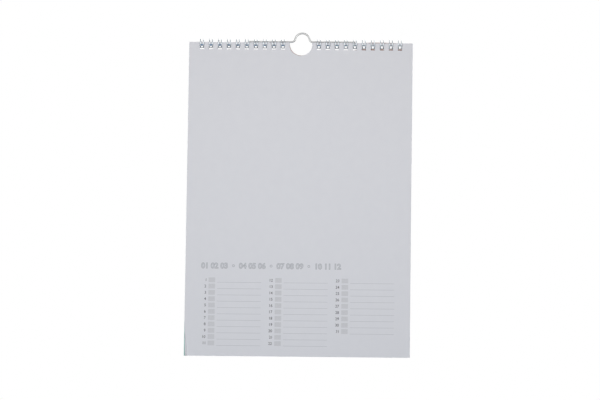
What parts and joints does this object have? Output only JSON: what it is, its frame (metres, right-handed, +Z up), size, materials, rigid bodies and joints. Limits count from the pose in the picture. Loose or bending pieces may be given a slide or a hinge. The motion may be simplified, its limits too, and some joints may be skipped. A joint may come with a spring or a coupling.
{
  "type": "wall calendar",
  "caption": "Wire-bound wall calendar: A4 leaves on two twin-wire combs, thumb cut, hanger wire, printed day table.",
  "frame": {"origin": "where a nail carries the hanger's crook: the middle of the wire's underside", "axes": "+Z up, +Y towards the wall, the printed front facing -Y, X along the hanger's arms"},
  "size_m": [0.21, 0.0088, 0.307],
  "materials": {
    "hanger_steel": "zinc-plated steel wire, satin",
    "comb_wire": "steel wire with a silver nylon coat, satin",
    "leaf_paper": "heavy matt-coated paper",
    "back_card": "uncoated reddish brown pulp board",
    "grey_print": "grey printing ink on the leaf"
  },
  "bodies": {
    "hanger": {"hanger_wire": "hanger_steel"},
    "calendar": {"wire_comb_left": "comb_wire", "wire_comb_right": "comb_wire", "leaf_block": "leaf_paper", "back_board": "back_card"},
    "front": {"front_leaf": "leaf_paper", "day_boxes": "grey_print", "day_lines": "grey_print"}
  },
  "joints": [
    {"name": "hanger_swing", "type": "hinge", "parent": "hanger", "child": "calendar", "pos_m": [0, 0, -0.0075], "axis": [1, 0, 0], "range_deg": [-180, 180]},
    {"name": "leaf_turn", "type": "hinge", "parent": "calendar", "child": "front", "pos_m": [0, 0.00008, -0.00878], "axis": [-1, 0, 0], "range_deg": [0, 180]}
  ]
}
